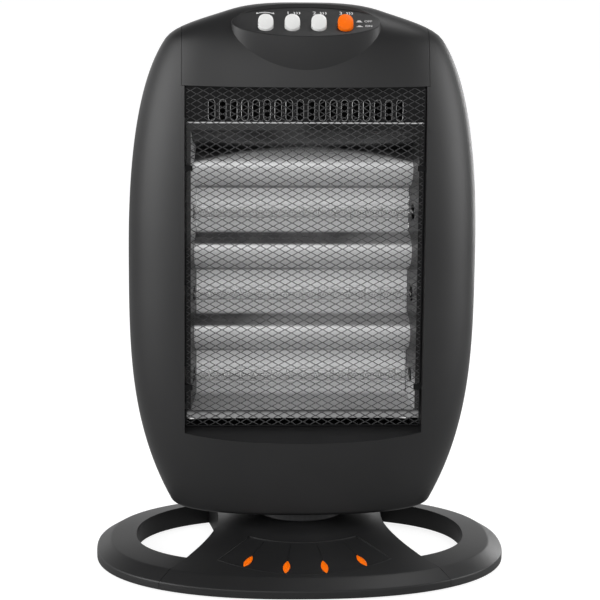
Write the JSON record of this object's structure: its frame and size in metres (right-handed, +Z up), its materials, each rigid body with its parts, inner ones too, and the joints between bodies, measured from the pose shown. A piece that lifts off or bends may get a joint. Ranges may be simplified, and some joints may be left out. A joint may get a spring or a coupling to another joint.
{
  "type": "halogen heater",
  "caption": "Free-standing oscillating halogen radiant heater: pebble-shaped head with quartz lamps, folded reflector and mesh guard, on an oval ring base.",
  "frame": {"origin": "middle of the base's outline, on the floor under the swing axis", "axes": "+Z up; -Y is the way that the lamps face; X runs along the lamps"},
  "size_m": [0.3198, 0.23, 0.4337],
  "materials": {
    "body_black": "satin charcoal moulding",
    "deep_black": "matt black moulding",
    "guard_black": "black enamel",
    "zinc_steel": "zinc plated",
    "reflector_metal": "bright rolled",
    "quartz": "clear",
    "tungsten": "drawn wire",
    "ceramic_white": "glazed steatite",
    "nylon_white": "natural moulding",
    "button_white": "gloss",
    "button_orange": "gloss",
    "insert_orange": "gloss",
    "foot_rubber": "matt",
    "switch_black": "matt"
  },
  "bodies": {
    "base": {"base_shell": "body_black", "base_inserts": "insert_orange", "bottom_plate": "deep_black", "rubber_feet": "foot_rubber", "base_screws": "zinc_steel", "pivot_spigot": "zinc_steel", "spigot_screws": "zinc_steel", "bearing_ring": "deep_black", "anchor_cap": "zinc_steel", "cord_gland": "deep_black", "tip_switch": "switch_black"},
    "head": {"turntable": "deep_black", "turntable_screws": "zinc_steel", "front_frame": "body_black", "top_cover": "body_black", "rear_shell": "body_black", "shell_screws": "zinc_steel", "guard_grille": "guard_black", "guard_clips": "deep_black", "reflector": "reflector_metal", "reflector_tray": "reflector_metal", "tray_screws": "zinc_steel", "vent_plate": "guard_black", "lamp_bracket_left": "zinc_steel", "lamp_bracket_right": "zinc_steel", "lamp_tube_1": "quartz", "lamp_tube_2": "quartz", "lamp_tube_3": "quartz", "lamp_filament_1": "tungsten", "lamp_filament_2": "tungsten", "lamp_filament_3": "tungsten", "lamp_caps_1": "ceramic_white", "lamp_caps_2": "ceramic_white", "lamp_caps_3": "ceramic_white", "motor_bracket": "zinc_steel", "swing_motor": "zinc_steel", "motor_screws": "zinc_steel", "switch_plate": "zinc_steel", "push_switches": "switch_black", "switch_screws": "zinc_steel", "thermal_cutout": "zinc_steel", "terminal_block": "nylon_white"},
    "crank": {"swing_crank": "nylon_white"},
    "link": {"swing_link": "zinc_steel"},
    "tip_plunger": {"tip_plunger": "insert_orange"},
    "button_swing": {"button_swing": "button_white"},
    "button_heat_1": {"button_heat_1": "button_white"},
    "button_heat_2": {"button_heat_2": "button_white"},
    "button_heat_3": {"button_heat_3": "button_orange"}
  },
  "joints": [
    {"name": "head_swing", "type": "hinge", "parent": "base", "child": "head", "pos_m": [0, 0, 0.0377], "axis": [0, 0, 1], "range_deg": [-35, 35]},
    {"name": "crank_turn", "type": "hinge", "parent": "head", "child": "crank", "pos_m": [-0.056, 0.00747, 0.0697], "axis": [0, 0, 1], "range_deg": [-90, 90]},
    {"name": "link_turn", "type": "hinge", "parent": "crank", "child": "link", "pos_m": [-0.056, 0.01436, 0.0731], "axis": [0, 0, 1], "range_deg": [-90, 90]},
    {"name": "tip_plunger_drop", "type": "slide", "parent": "base", "child": "tip_plunger", "axis": [0, 0, -1], "range_m": [0, 0.005], "stiffness_N_per_m": 40, "springref_m": 0.008},
    {"name": "button_swing_press", "type": "slide", "parent": "head", "child": "button_swing", "axis": [0, 0.5, -0.866], "range_m": [0, 0.003], "stiffness_N_per_m": 300, "springref_m": -0.001},
    {"name": "button_heat_1_press", "type": "slide", "parent": "head", "child": "button_heat_1", "axis": [0, 0.5, -0.866], "range_m": [0, 0.003], "stiffness_N_per_m": 300, "springref_m": -0.001},
    {"name": "button_heat_2_press", "type": "slide", "parent": "head", "child": "button_heat_2", "axis": [0, 0.5, -0.866], "range_m": [0, 0.003], "stiffness_N_per_m": 300, "springref_m": -0.001},
    {"name": "button_heat_3_press", "type": "slide", "parent": "head", "child": "button_heat_3", "axis": [0, 0.5, -0.866], "range_m": [0, 0.003], "stiffness_N_per_m": 300, "springref_m": -0.001}
  ],
  "couplings": [
    {"joint": "crank_turn", "follows": "head_swing", "ratio": -2.5714},
    {"joint": "link_turn", "follows": "head_swing", "ratio": 2.5714}
  ]
}
